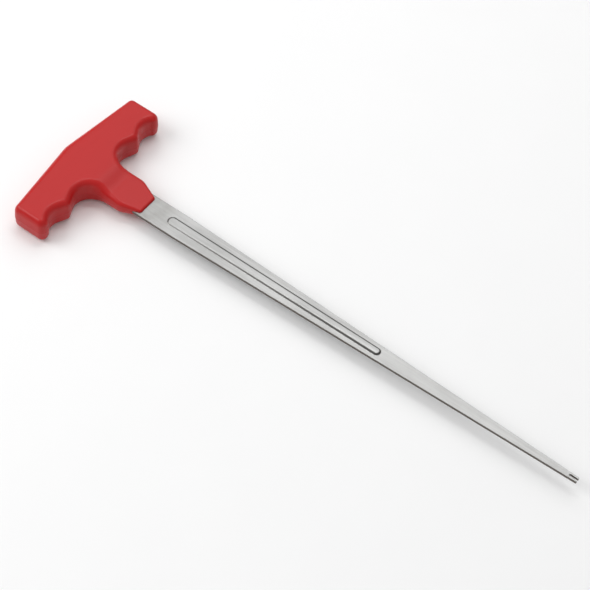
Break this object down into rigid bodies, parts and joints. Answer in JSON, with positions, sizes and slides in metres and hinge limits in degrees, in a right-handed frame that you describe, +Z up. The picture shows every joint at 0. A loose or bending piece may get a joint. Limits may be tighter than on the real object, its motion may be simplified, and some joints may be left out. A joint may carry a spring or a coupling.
{
  "type": "forked plug insertion tool",
  "caption": "T-handled hand tool with finger grips and a long flat tapering steel blade that ends in a small open fork for pushing in a plug or cord.",
  "frame": {"origin": "under the middle of the whole tool, on the plane of the handle's flat underside", "axes": "+X along the blade from the handle towards the fork, +Y along the handle's bar, +Z up through the thickness of the tool"},
  "size_m": [0.344, 0.105, 0.0175],
  "materials": {
    "handle_plastic": "satin moulded red plastic with soft highlights on its rounded edges",
    "blade_steel": "satin steel with faint lengthwise grain, darker sheared edges",
    "pin_steel": "ground dowel steel",
    "screw_steel": "bright zinc plated"
  },
  "bodies": {
    "root": {"handle_top_shell": "handle_plastic", "handle_bottom_shell": "handle_plastic", "blade": "blade_steel", "tang_pin_front": "pin_steel", "tang_pin_rear": "pin_steel", "screw_middle": "screw_steel", "screw_left_inner": "screw_steel", "screw_left_outer": "screw_steel", "screw_right_inner": "screw_steel", "screw_right_outer": "screw_steel"}
  },
  "joints": []
}
